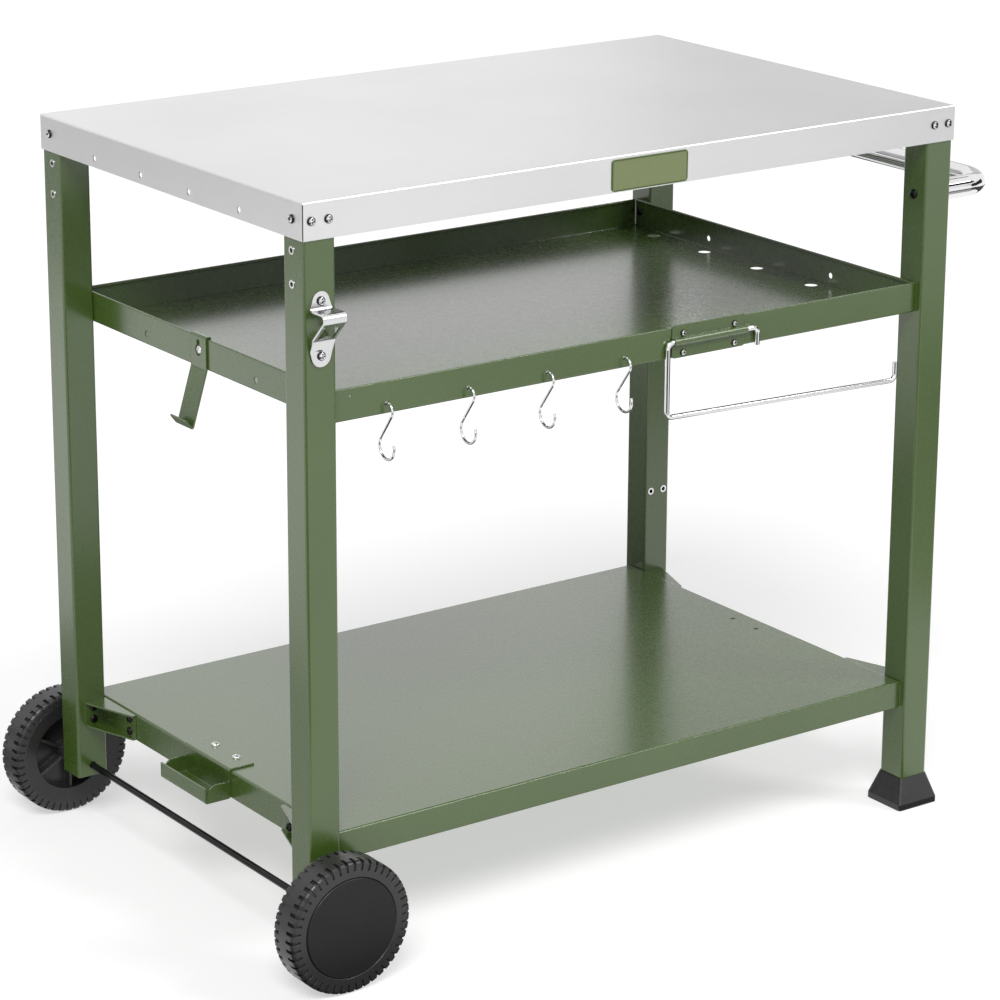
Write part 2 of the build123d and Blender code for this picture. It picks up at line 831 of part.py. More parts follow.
handle_start = mid_x + outer_x
handle_bar = handle_start + handle_stand_off
with BuildPart() as handle:
    with BuildLine(Plane.XY.offset(handle_height)):
        FilletPolyline(
            (handle_start, -leg_y), (handle_bar, -leg_y), (handle_bar, leg_y), (handle_start, leg_y),
            radius=handle_bend,
        )
    with BuildSketch(facing(handle_start, -leg_y, handle_height, (1, 0, 0))):
        Circle(handle_radius)
        Circle(handle_radius - handle_wall, mode=Mode.SUBTRACT)
    sweep()
keep(handle, "handle")

with BuildPart() as plug:
    with BuildSketch():
        Circle(handle_radius - handle_wall - thread_clearance)
        Circle(handle_bolt_radius + thread_clearance, mode=Mode.SUBTRACT)
    extrude(amount=plug_length)
plug_places = [facing(handle_start, side * leg_y, handle_height, (1, 0, 0)) for side in axle_sides.values()]
keep(group(plug.part, plug_places), "handle_plugs")

bolt = domed_screw(
    handle_bolt_head_radius, handle_bolt_head_height, handle_bolt_radius, leg_side + handle_bolt_grip
)
keep(group(bolt, [handle_bolt(side) for side in axle_sides.values()]), "handle_bolts")


# Bottle opener

with BuildPart() as bottle_opener:
    opener_x = mid_x - leg_x
    flat_y = -outer_y - opener_sheet / 2
    nose_y = -outer_y - opener_reach
    with BuildSketch(Plane.YZ.offset(opener_x)):
        with BuildLine():
            FilletPolyline(
                (flat_y, opener_top), (flat_y, opener_shelf), (nose_y, opener_shelf),
                (nose_y, opener_shelf - opener_nose), (flat_y - opener_knee_out, opener_knee),
                (flat_y, opener_return), (flat_y, opener_bottom),
                radius=(
                    opener_fold_bend, opener_nose_bend, opener_nose_bend, opener_knee_bend, opener_fold_bend
                ),
            )
        trace(line_width=opener_sheet)
    extrude(amount=opener_width / 2, both=True)
    with BuildSketch(Plane.XZ.offset(outer_y - cut_margin)):
        with Locations((opener_x, opener_top_z)):
            Circle(opener_top_round)
        with Locations((opener_x, (opener_shelf + opener_return) / 2)):
            Rectangle(opener_width, opener_shelf - opener_return)
        with Locations((opener_x, opener_bottom_z)):
            Circle(opener_bottom_round)
        make_hull()
    extrude(amount=opener_reach + opener_sheet + 2 * cut_margin, mode=Mode.INTERSECT)
    arch_radius = (mouth_width**2 / 4 + mouth_arch**2) / (2 * mouth_arch)
    with BuildSketch(Plane.XZ.offset(outer_y + opener_sheet + cut_margin)):
        with Locations((opener_x, (mouth_top + mouth_bottom) / 2)):
            Rectangle(mouth_width, mouth_top - mouth_bottom)
        with Locations((opener_x, mouth_bottom + mouth_arch - arch_radius)):
            Circle(arch_radius, mode=Mode.SUBTRACT)
    extrude(amount=opener_reach, mode=Mode.SUBTRACT)
    with Locations((opener_x, -outer_y - opener_slot_reach - opener_slot_width / 2, opener_shelf)):
        Box(opener_slot_length, opener_slot_width, 2 * opener_sheet, mode=Mode.SUBTRACT)
    drill(screw_radius + hole_clearance, opener_sheet + cut_margin, opener_screws)
keep(bottle_opener, "bottle_opener")
keep(group(pan_screw, opener_screws), "opener_screws")


# Roll holder

with BuildPart() as roll_bracket:
    with BuildSketch(Plane.YZ.offset(roll_x - roll_bracket_length / 2)):
        bead_align = (Align.MAX, Align.CENTER)
        with Locations((tray_front, tray_bottom)):
            Rectangle(
                roll_bracket_sheet, tray_wall_height + roll_bracket_rise, align=(Align.MAX, Align.MIN)
            )
        with Locations((tray_front, roll_z)):
            Rectangle(tray_front - roll_y, 2 * roll_bead, align=bead_align)
        with Locations((roll_y, roll_z)):
            Circle(roll_bead)
        with Locations((tray_front, roll_z)):
            Rectangle(tray_front - roll_y, 2 * roll_groove, align=bead_align, mode=Mode.SUBTRACT)
        with Locations((roll_y, roll_z)):
            Circle(roll_groove, mode=Mode.SUBTRACT)
        with Locations((tray_front, roll_z)):
            Rectangle(roll_bead, 2 * roll_bead, align=(Align.MIN, Align.CENTER), mode=Mode.SUBTRACT)
    extrude(amount=roll_bracket_length)
    plate_corners = roll_bracket.edges().filter_by(Axis.Y).group_by(Axis.Z)
    fillet(plate_corners[0] + plate_corners[-1], roll_bracket_corner)
    drill(small_screw_radius + hole_clearance, roll_bracket_sheet + cut_margin, roll_screws)
keep(roll_bracket, "roll_bracket")

small_screw = domed_screw(small_head_radius, small_head_height, small_screw_radius, small_screw_length)
small_nut = hex_nut(small_screw_radius + thread_clearance, small_nut_flats, small_nut_thickness)
keep(group(small_screw, roll_screws), "roll_bracket_screws")
keep(group(small_nut, roll_nuts), "roll_bracket_nuts")

with BuildPart() as roll_wire:
    wire_left = roll_x - roll_bracket_length / 2 - roll_end_gap - roll_bend
    wire_right = roll_x + roll_bracket_length / 2 + roll_tail_offset
    bar_z = roll_z - roll_drop
    bar_end = wire_left + roll_bar
    with BuildLine(Plane.XZ.offset(-roll_y)):
        FilletPolyline(
            (wire_right, roll_z - roll_tail), (wire_right, roll_z), (wire_left, roll_z), (wire_left, bar_z),
            (bar_end, bar_z - roll_bar_dip), (bar_end, bar_z - roll_bar_dip + roll_tip),
            radius=roll_bend,
        )
    with BuildSketch(Plane(origin=(wire_right, roll_y, roll_z - roll_tail), z_dir=(0, 0, 1))):
        Circle(roll_wire_radius)
    sweep()
keep(roll_wire, "roll_wire")


# S hooks


def make_hook(x):
    """A wire S hook: a small loop through the tray's wall and a larger bowl below it."""
    loop = (hook_y - hook_loop_lean, hook_z - sqrt(hook_loop_radius**2 - hook_loop_lean**2))
    bowl = (hook_y - hook_bowl_lean, hook_z - hook_bowl_drop)
    across = bowl[0] - loop[0]
    down = bowl[1] - loop[1]
    shank = degrees(atan2(down, across) - acos((hook_loop_radius + hook_bowl_radius) / hypot(across, down)))
    turn = radians(shank)
    loop_end = (loop[0] + hook_loop_radius * cos(turn), loop[1] + hook_loop_radius * sin(turn))
    bowl_start = (bowl[0] - hook_bowl_radius * cos(turn), bowl[1] - hook_bowl_radius * sin(turn))
    with BuildPart() as hook:
        with BuildLine(Plane.YZ.offset(x)) as wire:
            CenterArc(loop, hook_loop_radius, hook_inner_angle, shank + 360 - hook_inner_angle)
            Line(loop_end, bowl_start)
            CenterArc(bowl, hook_bowl_radius, shank + 180, hook_tip_angle - 360 - shank - 180)
        path = wire.wire()
        with BuildSketch(Plane(origin=path @ 0, z_dir=path % 0)):
            Circle(hook_wire_radius)
        sweep()
    return hook


for number, x in enumerate(hook_places, start=1):
    keep(make_hook(x), f"s_hook_{number}")


# Tank hook

with BuildPart() as tank_hook:
    half = tank_hook_sheet / 2
    flap_x = left_end + tray_rim + tank_hook_gap + half
    plate_x = left_end - tank_hook_fit - half
    fold_z = tray_top + tank_hook_gap + half
    arm_x = plate_x - tank_hook_arm_out
    arm_z = tray_bottom - tank_hook_arm_drop
    with BuildSketch(Plane.XZ):
        with BuildLine():
            FilletPolyline(
                (flap_x, fold_z - tank_hook_flap), (flap_x, fold_z), (plate_x, fold_z),
                (plate_x, tray_bottom), (arm_x, arm_z),
                (arm_x - tank_hook_lip_out, arm_z + tank_hook_lip_rise),
                radius=(tank_hook_bend, tank_hook_bend, tank_hook_knee, tank_hook_toe),
            )
        trace(line_width=tank_hook_sheet)
    extrude(amount=tank_hook_width / 2, both=True)
    with BuildSketch(Plane.YZ.offset(left_end)):
        with Locations((0, keyhole_z)):
            Circle(keyhole_radius)
            Rectangle(keyhole_slot, keyhole_rise, align=(Align.CENTER, Align.MIN))
        with Locations((0, keyhole_z + keyhole_rise)):
            Circle(keyhole_slot / 2)
    extrude(amount=-tank_hook_sheet - cut_margin, mode=Mode.SUBTRACT)
keep(tank_hook, "tank_hook")
keep(group(pan_screw, [tank_screw]), "tank_hook_screw")
keep(group(nut, [tank_nut]), "tank_hook_nut")


# Tank cradle

with BuildPart() as tank_cradle:
    half = cradle_sheet / 2
    back_x = left_end - cradle_fit - half
    tab_z = shelf_height + cradle_fit + half
    floor_z = shelf_bottom - cradle_drop + half
    lip_x = left_end - cradle_reach + half
    with BuildSketch(Plane.XZ):
        with BuildLine():
            FilletPolyline(
                (left_end + cradle_tab, tab_z), (back_x, tab_z), (back_x, floor_z), (lip_x, floor_z),
                (lip_x, floor_z - half + cradle_lip),
                radius=cradle_bend,
            )
        trace(line_width=cradle_sheet)
    extrude(amount=cradle_length / 2, both=True)
    cheek_bottom = floor_z - half
    cheek_top = cheek_bottom + cheek_height
    cheek_low = cheek_bottom + cheek_toe
    cheek_start = lip_x + half + cheek_toe_gap
    cheek_turn = back_x - cheek_flat
    for plane in (Plane.XZ.offset(cradle_length / 2), Plane.XZ.offset(cradle_sheet - cradle_length / 2)):
        with BuildSketch(plane):
            with BuildLine():
                Polyline(
                    (cheek_start, cheek_low), (cheek_start, floor_z), (back_x, floor_z), (back_x, cheek_top),
                    (cheek_turn, cheek_top),
                )
                TangentArc((cheek_turn, cheek_top), (cheek_start, cheek_low), tangent=(-1, 0))
            make_face()
        extrude(amount=-cradle_sheet)
    drill(cradle_hole_radius, cradle_sheet + cut_margin, cradle_screws)
keep(tank_cradle, "tank_cradle")
keep(group(pan_screw, cradle_screws), "cradle_screws")
keep(group(nut, cradle_nuts), "cradle_nuts")
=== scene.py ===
import math

import bpy
from mathutils import Matrix, Vector


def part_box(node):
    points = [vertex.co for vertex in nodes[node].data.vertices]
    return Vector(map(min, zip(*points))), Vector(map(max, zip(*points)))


bl_info = {
    "name": "Barbecue prep table",
    "version": (1, 0, 0),
    "blender": (4, 5, 0),
    "location": "3D View > Sidebar > Prep Table",
    "description": "Dresses a barbecue prep table in its finishes and sets it in a studio",
    "category": "Object",
}

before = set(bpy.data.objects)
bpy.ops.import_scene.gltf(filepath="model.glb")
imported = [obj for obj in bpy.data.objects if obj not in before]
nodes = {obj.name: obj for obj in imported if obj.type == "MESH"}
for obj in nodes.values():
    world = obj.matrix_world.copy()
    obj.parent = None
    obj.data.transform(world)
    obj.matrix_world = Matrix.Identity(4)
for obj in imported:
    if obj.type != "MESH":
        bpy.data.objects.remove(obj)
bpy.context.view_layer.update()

# The stage, with lengths in metres and shades from 0 for black to 1 for white
FLOOR_SPAN = 60.0
FLOOR_DROP = 0.0005
FLOOR_SHADE = 0.55
FLOOR_SPREAD = 0.01
FLOOR_CLOUDS = 0.6
FLOOR_GLOW = 0.54
WORLD_LIGHT = 0.30
WORLD_SEEN = 1.0
# Lamps: the way they shine, strength and spread in degrees
LAMPS = (
    ("key_lamp", (0.43, 0.52, -0.74), 2.05, 25.0),
    ("fill_lamp", (-0.54, 0.54, -0.64), 1.05, 20.0),
)
LAMP_HEIGHT = 3.0
# Flags, which are cards around the stage that face the table: place, width and height, shade
FLAGS = (
    ("right_flag", (3.1, 2.2, 1.85), (2.0, 1.2), 0.78),
    ("side_flag", (2.8, -1.9, 0.9), (1.2, 1.0), 0.03),
    ("back_flag", (-1.9, 2.5, 0.3), (1.6, 0.8), 0.50),
    ("left_flag", (-2.6, 1.2, 1.4), (1.2, 1.6), 0.03),
    ("upper_flag", (1.9, -2.0, 1.95), (1.8, 0.7), 0.02),
    ("back_top_flag", (2.0, 1.1, 2.8), (1.6, 0.4), 0.03),
    ("handle_flag", (3.0, -0.8, 1.0), (1.2, 0.9), 0.02),
)
FLAG_AIM = Vector((0.0, 0.0, 0.5))
# Mats, which are cards that lie on the floor: place, width and depth, shade
MATS = (
    ("behind_mat", (1.7, 2.0), (2.4, 2.4), 0.03),
    ("beside_mat", (-0.15, 1.15), (1.1, 1.5), 0.20),
    ("right_mat", (2.2, -0.6), (1.2, 2.5), 0.02),
    ("near_mat", (-1.25, -2.0), (2.3, 2.2), 0.02),
    ("hook_mat", (-0.15, -0.35), (1.2, 0.14), 0.02),
    ("wheel_mat", (-0.75, 0.4), (0.5, 0.9), 0.60),
    ("front_mat", (1.25, -1.45), (0.7, 1.5), 0.40),
    ("roll_mat", (0.85, 0.38), (0.5, 0.6), 0.02),
)
MAT_LIFT = 0.001
CARD_SPREAD = 0.1
CARD_CLOUDS = 0.8
PAPER_ROUGH = 0.9
# The photo's width in pixels, and the camera sensor's in millimetres
PHOTO_SPAN = 1000.0
SENSOR_WIDTH = 36.0

# The finishes, with clouds and grains to the metre, lengths in metres and roughness as a range
CLOUD_DETAIL = 4.0
GRAIN_DETAIL = 3.0
PEEL_DETAIL = 2.0
PAPER_DETAIL = 2.0
EDGE_EASE = 0.0012
PAINT_SPREAD = 0.05
PAINT_CLOUDS = 9.0
PAINT_GRAIN = 140.0
PAINT_ROUGH = (0.24, 0.30)
PAINT_PEEL = 900.0
PAINT_PEEL_HEIGHT = 0.0001
PAINT_PEEL_STRENGTH = 0.002
PAINT_IOR = 1.50
PAINT_COAT_ROUGH = 0.20
BADGE_BORDER = 0.0016
ENAMEL_GRAIN = 300.0
ENAMEL_ROUGH = (0.26, 0.36)
ENAMEL_PEEL = 1200.0
ENAMEL_PEEL_HEIGHT = 0.00005
ENAMEL_PEEL_STRENGTH = 0.08
STEEL_SPREAD = 0.025
STEEL_CLOUDS = 5.0
STEEL_BRUSH = (6.0, 2600.0, 2600.0)
STEEL_ROUGH = (0.30, 0.42)
STEEL_BRUSH_HEIGHT = 0.00004
STEEL_BRUSH_STRENGTH = 0.10
PLATE_SPREAD = 0.03
PLATE_CLOUDS = 60.0
PLATE_GRAIN = 220.0
# Plated finishes: roughness
PLATES = {
    "chrome_plate": (0.04, 0.08),
    "satin_plate": (0.12, 0.18),
    "zinc_plate": (0.22, 0.32),
}
SCREW_ROUGH = (0.10, 0.17)
# Shade of the painted dark reflection round the rim of each screw head
SCREW_PAINTED_RIM_SHADE = 0.03
# How squarely a screw's face looks out where its painted dark reflection round the rim ends and its bright
# middle starts
SCREW_PAINTED_RIM = (0.80, 0.91)
BLACK_SPREAD = 0.12
BLACK_CLOUDS = 25.0
BLACK_PEEL_STRENGTH = 0.25
# How many times coarser the roughness is than the skin's grain
BLACK_COARSER = 4.0
# Black finishes: roughness, grains to the metre in their skin and its height
BLACKS = {
    "black_oxide": ((0.14, 0.22), 900.0, 0.00002),
    "wheel_plastic": ((0.26, 0.36), 700.0, 0.00004),
    "cap_plastic": ((0.40, 0.50), 1100.0, 0.00006),
    "boot_rubber": ((0.24, 0.32), 500.0, 0.00003),
}
OXIDE_METALLIC = 0.6
CAP_SPECULAR = 0.3


# Colours and camera values that a user would change


class PrepTableFinishes(bpy.types.PropertyGroup):
    """Colours of the table's finishes."""

    paint: bpy.props.FloatVectorProperty(
        name="Paint", description="Powder coat on the frame", subtype="COLOR",
        default=(0.050, 0.094, 0.014), min=0.0, max=1.0,
    )
    steel: bpy.props.FloatVectorProperty(
        name="Worktop steel", description="Satin steel of the worktop", subtype="COLOR",
        default=(0.76, 0.76, 0.76), min=0.0, max=1.0,
    )
    chrome: bpy.props.FloatVectorProperty(
        name="Chrome", description="Plating on the handle and wire parts", subtype="COLOR",
        default=(0.80, 0.80, 0.81), min=0.0, max=1.0,
    )
    zinc: bpy.props.FloatVectorProperty(
        name="Zinc", description="Plating on the nuts, the washers and the gas bottle holders' screws",
        subtype="COLOR", default=(0.84, 0.84, 0.83), min=0.0, max=1.0,
    )
    satin: bpy.props.FloatVectorProperty(
        name="Satin plate", description="Plating on the bottle opener", subtype="COLOR",
        default=(0.68, 0.68, 0.69), min=0.0, max=1.0,
    )
    screw: bpy.props.FloatVectorProperty(
        name="Screw steel", description="Screws of the worktop, opener and roll holder", subtype="COLOR",
        default=(0.80, 0.80, 0.81), min=0.0, max=1.0,
    )
    black: bpy.props.FloatVectorProperty(
        name="Black", description="Wheel caps, axle and black screws", subtype="COLOR",
        default=(0.010, 0.010, 0.0105), min=0.0, max=1.0,
    )
    badge: bpy.props.FloatVectorProperty(
        name="Badge", description="Field of the badge plate", subtype="COLOR",
        default=(0.190, 0.230, 0.100), min=0.0, max=1.0,
    )
    rubber: bpy.props.FloatVectorProperty(
        name="Rubber", description="Wheels, handle plugs and boots", subtype="COLOR",
        default=(0.022, 0.022, 0.0225), min=0.0, max=1.0,
    )


class PrepTableStage(bpy.types.PropertyGroup):
    """Where the camera stands and how it frames the table."""

    camera_place: bpy.props.FloatVectorProperty(
        name="Camera place", description="Where the camera stands", subtype="TRANSLATION",
        default=(-2.2752, -3.1440, 1.6251),
    )
    camera_yaw: bpy.props.FloatProperty(
        name="Yaw", description="Turn from +Y towards +X", subtype="ANGLE", default=math.radians(35.019),
    )
    camera_pitch: bpy.props.FloatProperty(
        name="Pitch", description="Tilt below the horizon", subtype="ANGLE", default=math.radians(16.776),
    )
    camera_roll: bpy.props.FloatProperty(
        name="Roll", description="Turn about the view line", subtype="ANGLE", default=math.radians(0.1025),
    )
    focal_pixels: bpy.props.FloatProperty(
        name="Focal length", description="Focal length in photo pixels", default=3506.5, min=100.0,
    )
    centre_x: bpy.props.FloatProperty(
        name="Centre across", description="View line's pixel across the photo", default=460.0,
    )
    centre_y: bpy.props.FloatProperty(
        name="Centre down", description="View line's pixel down the photo", default=440.0,
    )


# Finishes


class Finish:
    """A node material on Object coordinates, built up step by step."""

    def __init__(self, name):
        self.material = bpy.data.materials.new(name)
        self.material.use_nodes = True
        self.tree = self.material.node_tree
        self.tree.nodes.clear()
        self.shader = self.add("ShaderNodeBsdfPrincipled")
        output = self.add("ShaderNodeOutputMaterial")
        self.link(self.shader.outputs["BSDF"], output.inputs["Surface"])
        self.place = self.add("ShaderNodeTexCoord").outputs["Object"]

    def add(self, kind):
        return self.tree.nodes.new(kind)

    def link(self, source, target):
        self.tree.links.new(source, target)

    def put(self, socket, value):
        """A constant on one of the shader's own sockets."""
        self.shader.inputs[socket].default_value = value

    def stretched(self, scale):
        """Object coordinates stretched along the axes."""
        mapping = self.add("ShaderNodeMapping")
        mapping.inputs["Scale"].default_value = scale
        self.link(self.place, mapping.inputs["Vector"])
        return mapping.outputs["Vector"]

    def noise(self, scale, detail, place=None):
        """Noise with a number of grains to the metre."""
        grain = self.add("ShaderNodeTexNoise")
        grain.inputs["Scale"].default_value = scale
        grain.inputs["Detail"].default_value = detail
        self.link(place or self.place, grain.inputs["Vector"])
        return grain.outputs["Fac"]

    def ramp(self, value, low, high, start=0.3, end=0.7):
        """The value spread over a range."""
        spread = self.add("ShaderNodeMapRange")
        spread.inputs["From Min"].default_value = start
        spread.inputs["From Max"].default_value = end
        spread.inputs["To Min"].default_value = low
        spread.inputs["To Max"].default_value = high
        self.link(value, spread.inputs["Value"])
        return spread.outputs["Result"]

    def colour(self, value, dark, light):
        """Base colour that varies between two shades."""
        mix = self.add("ShaderNodeMix")
        mix.data_type = "RGBA"
        mix.inputs["A"].default_value = (*dark, 1.0)
        mix.inputs["B"].default_value = (*light, 1.0)
        self.link(value, mix.inputs["Factor"])
        self.link(mix.outputs["Result"], self.shader.inputs["Base Color"])

    def clouds(self, colour, spread, scale, detail=CLOUD_DETAIL):
        """Base colour in faint clouds of a darker and a lighter shade."""
        dark = tuple(part * (1.0 - spread) for part in colour)
        light = tuple(min(1.0, part * (1.0 + spread)) for part in colour)
        self.colour(self.ramp(self.noise(scale, detail), 0.0, 1.0), dark, light)

    def rough(self, value, low, high):
        self.link(self.ramp(value, low, high), self.shader.inputs["Roughness"])

    def within(self, axis, middle, reach):
        """One where the place along an axis is no further than the reach from the middle, else nought."""
        parts = self.add("ShaderNodeSeparateXYZ")
        self.link(self.place, parts.inputs["Vector"])
        near = self.add("ShaderNodeMath")
        near.operation = "COMPARE"
        near.inputs[1].default_value = middle
        near.inputs[2].default_value = reach
        self.link(parts.outputs[axis], near.inputs[0])
        return near.outputs[0]

    def inside(self, middle, reach):
        """One inside an upright rectangle across the front, and nought outside it."""
        both = self.add("ShaderNodeMath")
        both.operation = "MULTIPLY"
        self.link(self.within("X", middle.x, reach.x), both.inputs[0])
        self.link(self.within("Z", middle.z, reach.z), both.inputs[1])
        return both.outputs[0]

    def squareness(self, middle, reach):
        """How squarely a face looks out: across the table within the reach, and along it beyond."""
        sizes = self.add("ShaderNodeVectorMath")
        sizes.operation = "ABSOLUTE"
        self.link(self.add("ShaderNodeTexCoord").outputs["Normal"], sizes.inputs[0])
        parts = self.add("ShaderNodeSeparateXYZ")
        self.link(sizes.outputs["Vector"], parts.inputs["Vector"])
        chosen = self.add("ShaderNodeMix")
        self.link(self.within("X", middle, reach), chosen.inputs["Factor"])
        self.link(parts.outputs["X"], chosen.inputs["A"])
        self.link(parts.outputs["Y"], chosen.inputs["B"])
        return chosen.outputs["Result"]

    def bump(self, value, height, strength, edge=0.0):
        """Relief of a height, over edges that are eased by a radius."""
        relief = self.add("ShaderNodeBump")
        relief.inputs["Distance"].default_value = height
        relief.inputs["Strength"].default_value = strength
        self.link(value, relief.inputs["Height"])
        if edge:
            eased = self.add("ShaderNodeBevel")
            eased.inputs["Radius"].default_value = edge
            self.link(eased.outputs["Normal"], relief.inputs["Normal"])
            self.link(relief.outputs["Normal"], self.shader.inputs["Coat Normal"])
        self.link(relief.outputs["Normal"], self.shader.inputs["Normal"])


def powder_coat(colours):
    """Satin paint with a fine orange-peel skin."""
    coat = Finish("powder_coat")
    coat.clouds(colours.paint, PAINT_SPREAD, PAINT_CLOUDS)
    coat.rough(coat.noise(PAINT_GRAIN, GRAIN_DETAIL), *PAINT_ROUGH)
    coat.bump(coat.noise(PAINT_PEEL, PEEL_DETAIL), PAINT_PEEL_HEIGHT, PAINT_PEEL_STRENGTH, EDGE_EASE)
    coat.put("IOR", PAINT_IOR)
    coat.put("Coat Weight", 1.0)
    coat.put("Coat Roughness", PAINT_COAT_ROUGH)
    return coat


def badge_enamel(colours):
    """Pale field inside a border of the paint's colour."""
    enamel = Finish("badge_enamel")
    corners = [Vector(corner) for corner in nodes["badge_plate"].bound_box]
    reach = (corners[6] - corners[0]) / 2.0 - Vector(3 * [BADGE_BORDER])
    field = enamel.inside((corners[0] + corners[6]) / 2.0, reach)
    enamel.colour(field, colours.paint, colours.badge)
    enamel.rough(enamel.noise(ENAMEL_GRAIN, GRAIN_DETAIL), *ENAMEL_ROUGH)
    enamel.bump(enamel.noise(ENAMEL_PEEL, PEEL_DETAIL), ENAMEL_PEEL_HEIGHT, ENAMEL_PEEL_STRENGTH)
    return enamel


def satin_steel(colours):
    """Fine brushed steel with its grain along the table."""
    steel = Finish("satin_steel")
    brush = steel.noise(1.0, GRAIN_DETAIL, steel.stretched(STEEL_BRUSH))
    steel.clouds(colours.steel, STEEL_SPREAD, STEEL_CLOUDS, GRAIN_DETAIL)
    steel.rough(brush, *STEEL_ROUGH)
    steel.bump(brush, STEEL_BRUSH_HEIGHT, STEEL_BRUSH_STRENGTH)
    steel.put("Metallic", 1.0)
    return steel


def bright_plate(name, colour):
    """Plated metal, with a faint haze on it."""
    plate = Finish(name)
    plate.clouds(colour, PLATE_SPREAD, PLATE_CLOUDS)
    plate.rough(plate.noise(PLATE_GRAIN, GRAIN_DETAIL), *PLATES[name])
    plate.put("Metallic", 1.0)
    return plate


def screw_steel_painted_rim(colours):
    """Bright heads with a painted dark reflection round the rim."""
    head = Finish("screw_steel_painted_rim")
    # The dark rim is a painted reflection of dark surroundings, laid on by how squarely the face looks out
    dark = tuple(part * SCREW_PAINTED_RIM_SHADE for part in colours.screw)
    low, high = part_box("worktop")
    square = head.squareness((low.x + high.x) / 2.0, (high.x - low.x) / 2.0)
    head.colour(head.ramp(square, 0.0, 1.0, *SCREW_PAINTED_RIM), dark, colours.screw)
    head.rough(head.noise(PLATE_GRAIN, GRAIN_DETAIL), *SCREW_ROUGH)
    head.put("Metallic", 1.0)
    return head


def black_skin(name, colour, edge=0.0):
    """Black plastic, rubber or oxide with a fine grain."""
    rough, grain, height = BLACKS[name]
    skin = Finish(name)
    skin.clouds(colour, BLACK_SPREAD, BLACK_CLOUDS)
    skin.rough(skin.noise(grain / BLACK_COARSER, GRAIN_DETAIL), *rough)
    skin.bump(skin.noise(grain, PEEL_DETAIL), height, BLACK_PEEL_STRENGTH, edge)
    return skin


def matt_paper(name, shade, spread, scale):
    """Plain matt paper for the floor and the cards."""
    paper = Finish(name)
    paper.clouds(3 * (shade,), spread, scale, PAPER_DETAIL)
    paper.put("Roughness", PAPER_ROUGH)
    return paper


def dress(names, finish):
    """Give CAD nodes a finish."""
    for name in names:
        nodes[name].data.materials.clear()
        nodes[name].data.materials.append(finish.material)


def finishes():
    return bpy.context.scene.prep_table_finishes


def named(*starts):
    """Nodes whose names start with any of the words."""
    return [name for name in nodes if name.startswith(starts)]


# Operators, one for each piece or group of like pieces


class PREPTABLE_OT_worktop(bpy.types.Operator):
    """Finish the worktop in satin steel."""

    bl_idname = "prep_table.worktop"
    bl_label = "Worktop"

    def execute(self, context):
        dress(["worktop"], satin_steel(finishes()))
        return {"FINISHED"}


class PREPTABLE_OT_painted_parts(bpy.types.Operator):
    """Paint the legs, tray, shelf, brackets and gas bottle holders."""

    bl_idname = "prep_table.painted_parts"
    bl_label = "Painted parts"

    def execute(self, context):
        coat = powder_coat(finishes())
        dress(named("leg_front", "leg_back", "gusset_front", "gusset_back"), coat)
        dress(["tray", "shelf", "roll_bracket", "tank_hook", "tank_cradle"], coat)
        return {"FINISHED"}


class PREPTABLE_OT_badge(bpy.types.Operator):
    """Enamel the bare badge plate."""

    bl_idname = "prep_table.badge"
    bl_label = "Badge"

    def execute(self, context):
        dress(["badge_plate"], badge_enamel(finishes()))
        return {"FINISHED"}


class PREPTABLE_OT_bright_parts(bpy.types.Operator):
    """Plate the handle, hooks, roll holder and bottle opener."""

    bl_idname = "prep_table.bright_parts"
    bl_label = "Bright parts"

    def execute(self, context):
        dress(["handle", "roll_wire"] + named("s_hook"), bright_plate("chrome_plate", finishes().chrome))
        dress(["bottle_opener"], bright_plate("satin_plate", finishes().satin))
        return {"FINISHED"}


class PREPTABLE_OT_fasteners(bpy.types.Operator):
    """Finish the screws, nuts, washers and axle."""

    bl_idname = "prep_table.fasteners"
    bl_label = "Fasteners"

    def execute(self, context):
        zinc = bright_plate("zinc_plate", finishes().zinc)
        oxide = black_skin("black_oxide", finishes().black)
        oxide.put("Metallic", OXIDE_METALLIC)
        dress(["leg_rivet_nuts", "axle_washers", "axle_nuts", "gusset_nuts", "roll_bracket_nuts"], zinc)
        dress(named("tank_hook_", "cradle_"), zinc)
        dress(["worktop_screws", "opener_screws", "roll_bracket_screws"], screw_steel_painted_rim(finishes()))
        dress(["tray_screws", "gusset_screws", "handle_bolts", "axle"], oxide)
        return {"FINISHED"}


class PREPTABLE_OT_wheels(bpy.types.Operator):
    """Finish the wheels, their caps and the handle's plugs."""

    bl_idname = "prep_table.wheels"
    bl_label = "Wheels"

    def execute(self, context):
        tread = black_skin("wheel_plastic", finishes().rubber, EDGE_EASE)
        cap = black_skin("cap_plastic", finishes().black)
        cap.put("Specular IOR Level", CAP_SPECULAR)
        dress(["wheel_front", "wheel_back", "handle_plugs"], tread)
        dress(named("wheel_cap"), cap)
        return {"FINISHED"}


class PREPTABLE_OT_boots(bpy.types.Operator):
    """Finish the rubber boots."""

    bl_idname = "prep_table.boots"
    bl_label = "Boots"

    def execute(self, context):
        dress(named("foot_"), black_skin("boot_rubber", finishes().rubber, EDGE_EASE))
        return {"FINISHED"}


